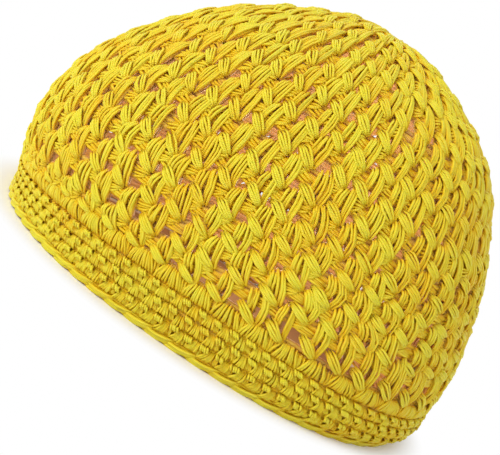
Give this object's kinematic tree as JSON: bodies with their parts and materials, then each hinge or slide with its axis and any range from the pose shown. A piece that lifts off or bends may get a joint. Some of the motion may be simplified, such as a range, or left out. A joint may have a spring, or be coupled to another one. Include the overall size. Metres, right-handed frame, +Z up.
{
  "type": "crocheted kufi",
  "caption": "Soft crocheted cotton kufi skull cap: a domed openwork crown, a close-worked band and a chain edge round the open rim.",
  "frame": {"origin": "under the middle of the hat, on the surface its rim rests on", "axes": "+Z up through the crown, +X across the hat's wider way, -Y towards the front"},
  "size_m": [0.1972, 0.1628, 0.133],
  "materials": {
    "crown_cotton": "bright yellow mercerised cotton yarn in open puff stitch",
    "band_cotton": "the same yarn in close single crochet",
    "edging_cotton": "the same yarn in chain stitch"
  },
  "bodies": {
    "root": {"crown": "crown_cotton", "band": "band_cotton", "edging": "edging_cotton"}
  },
  "joints": []
}
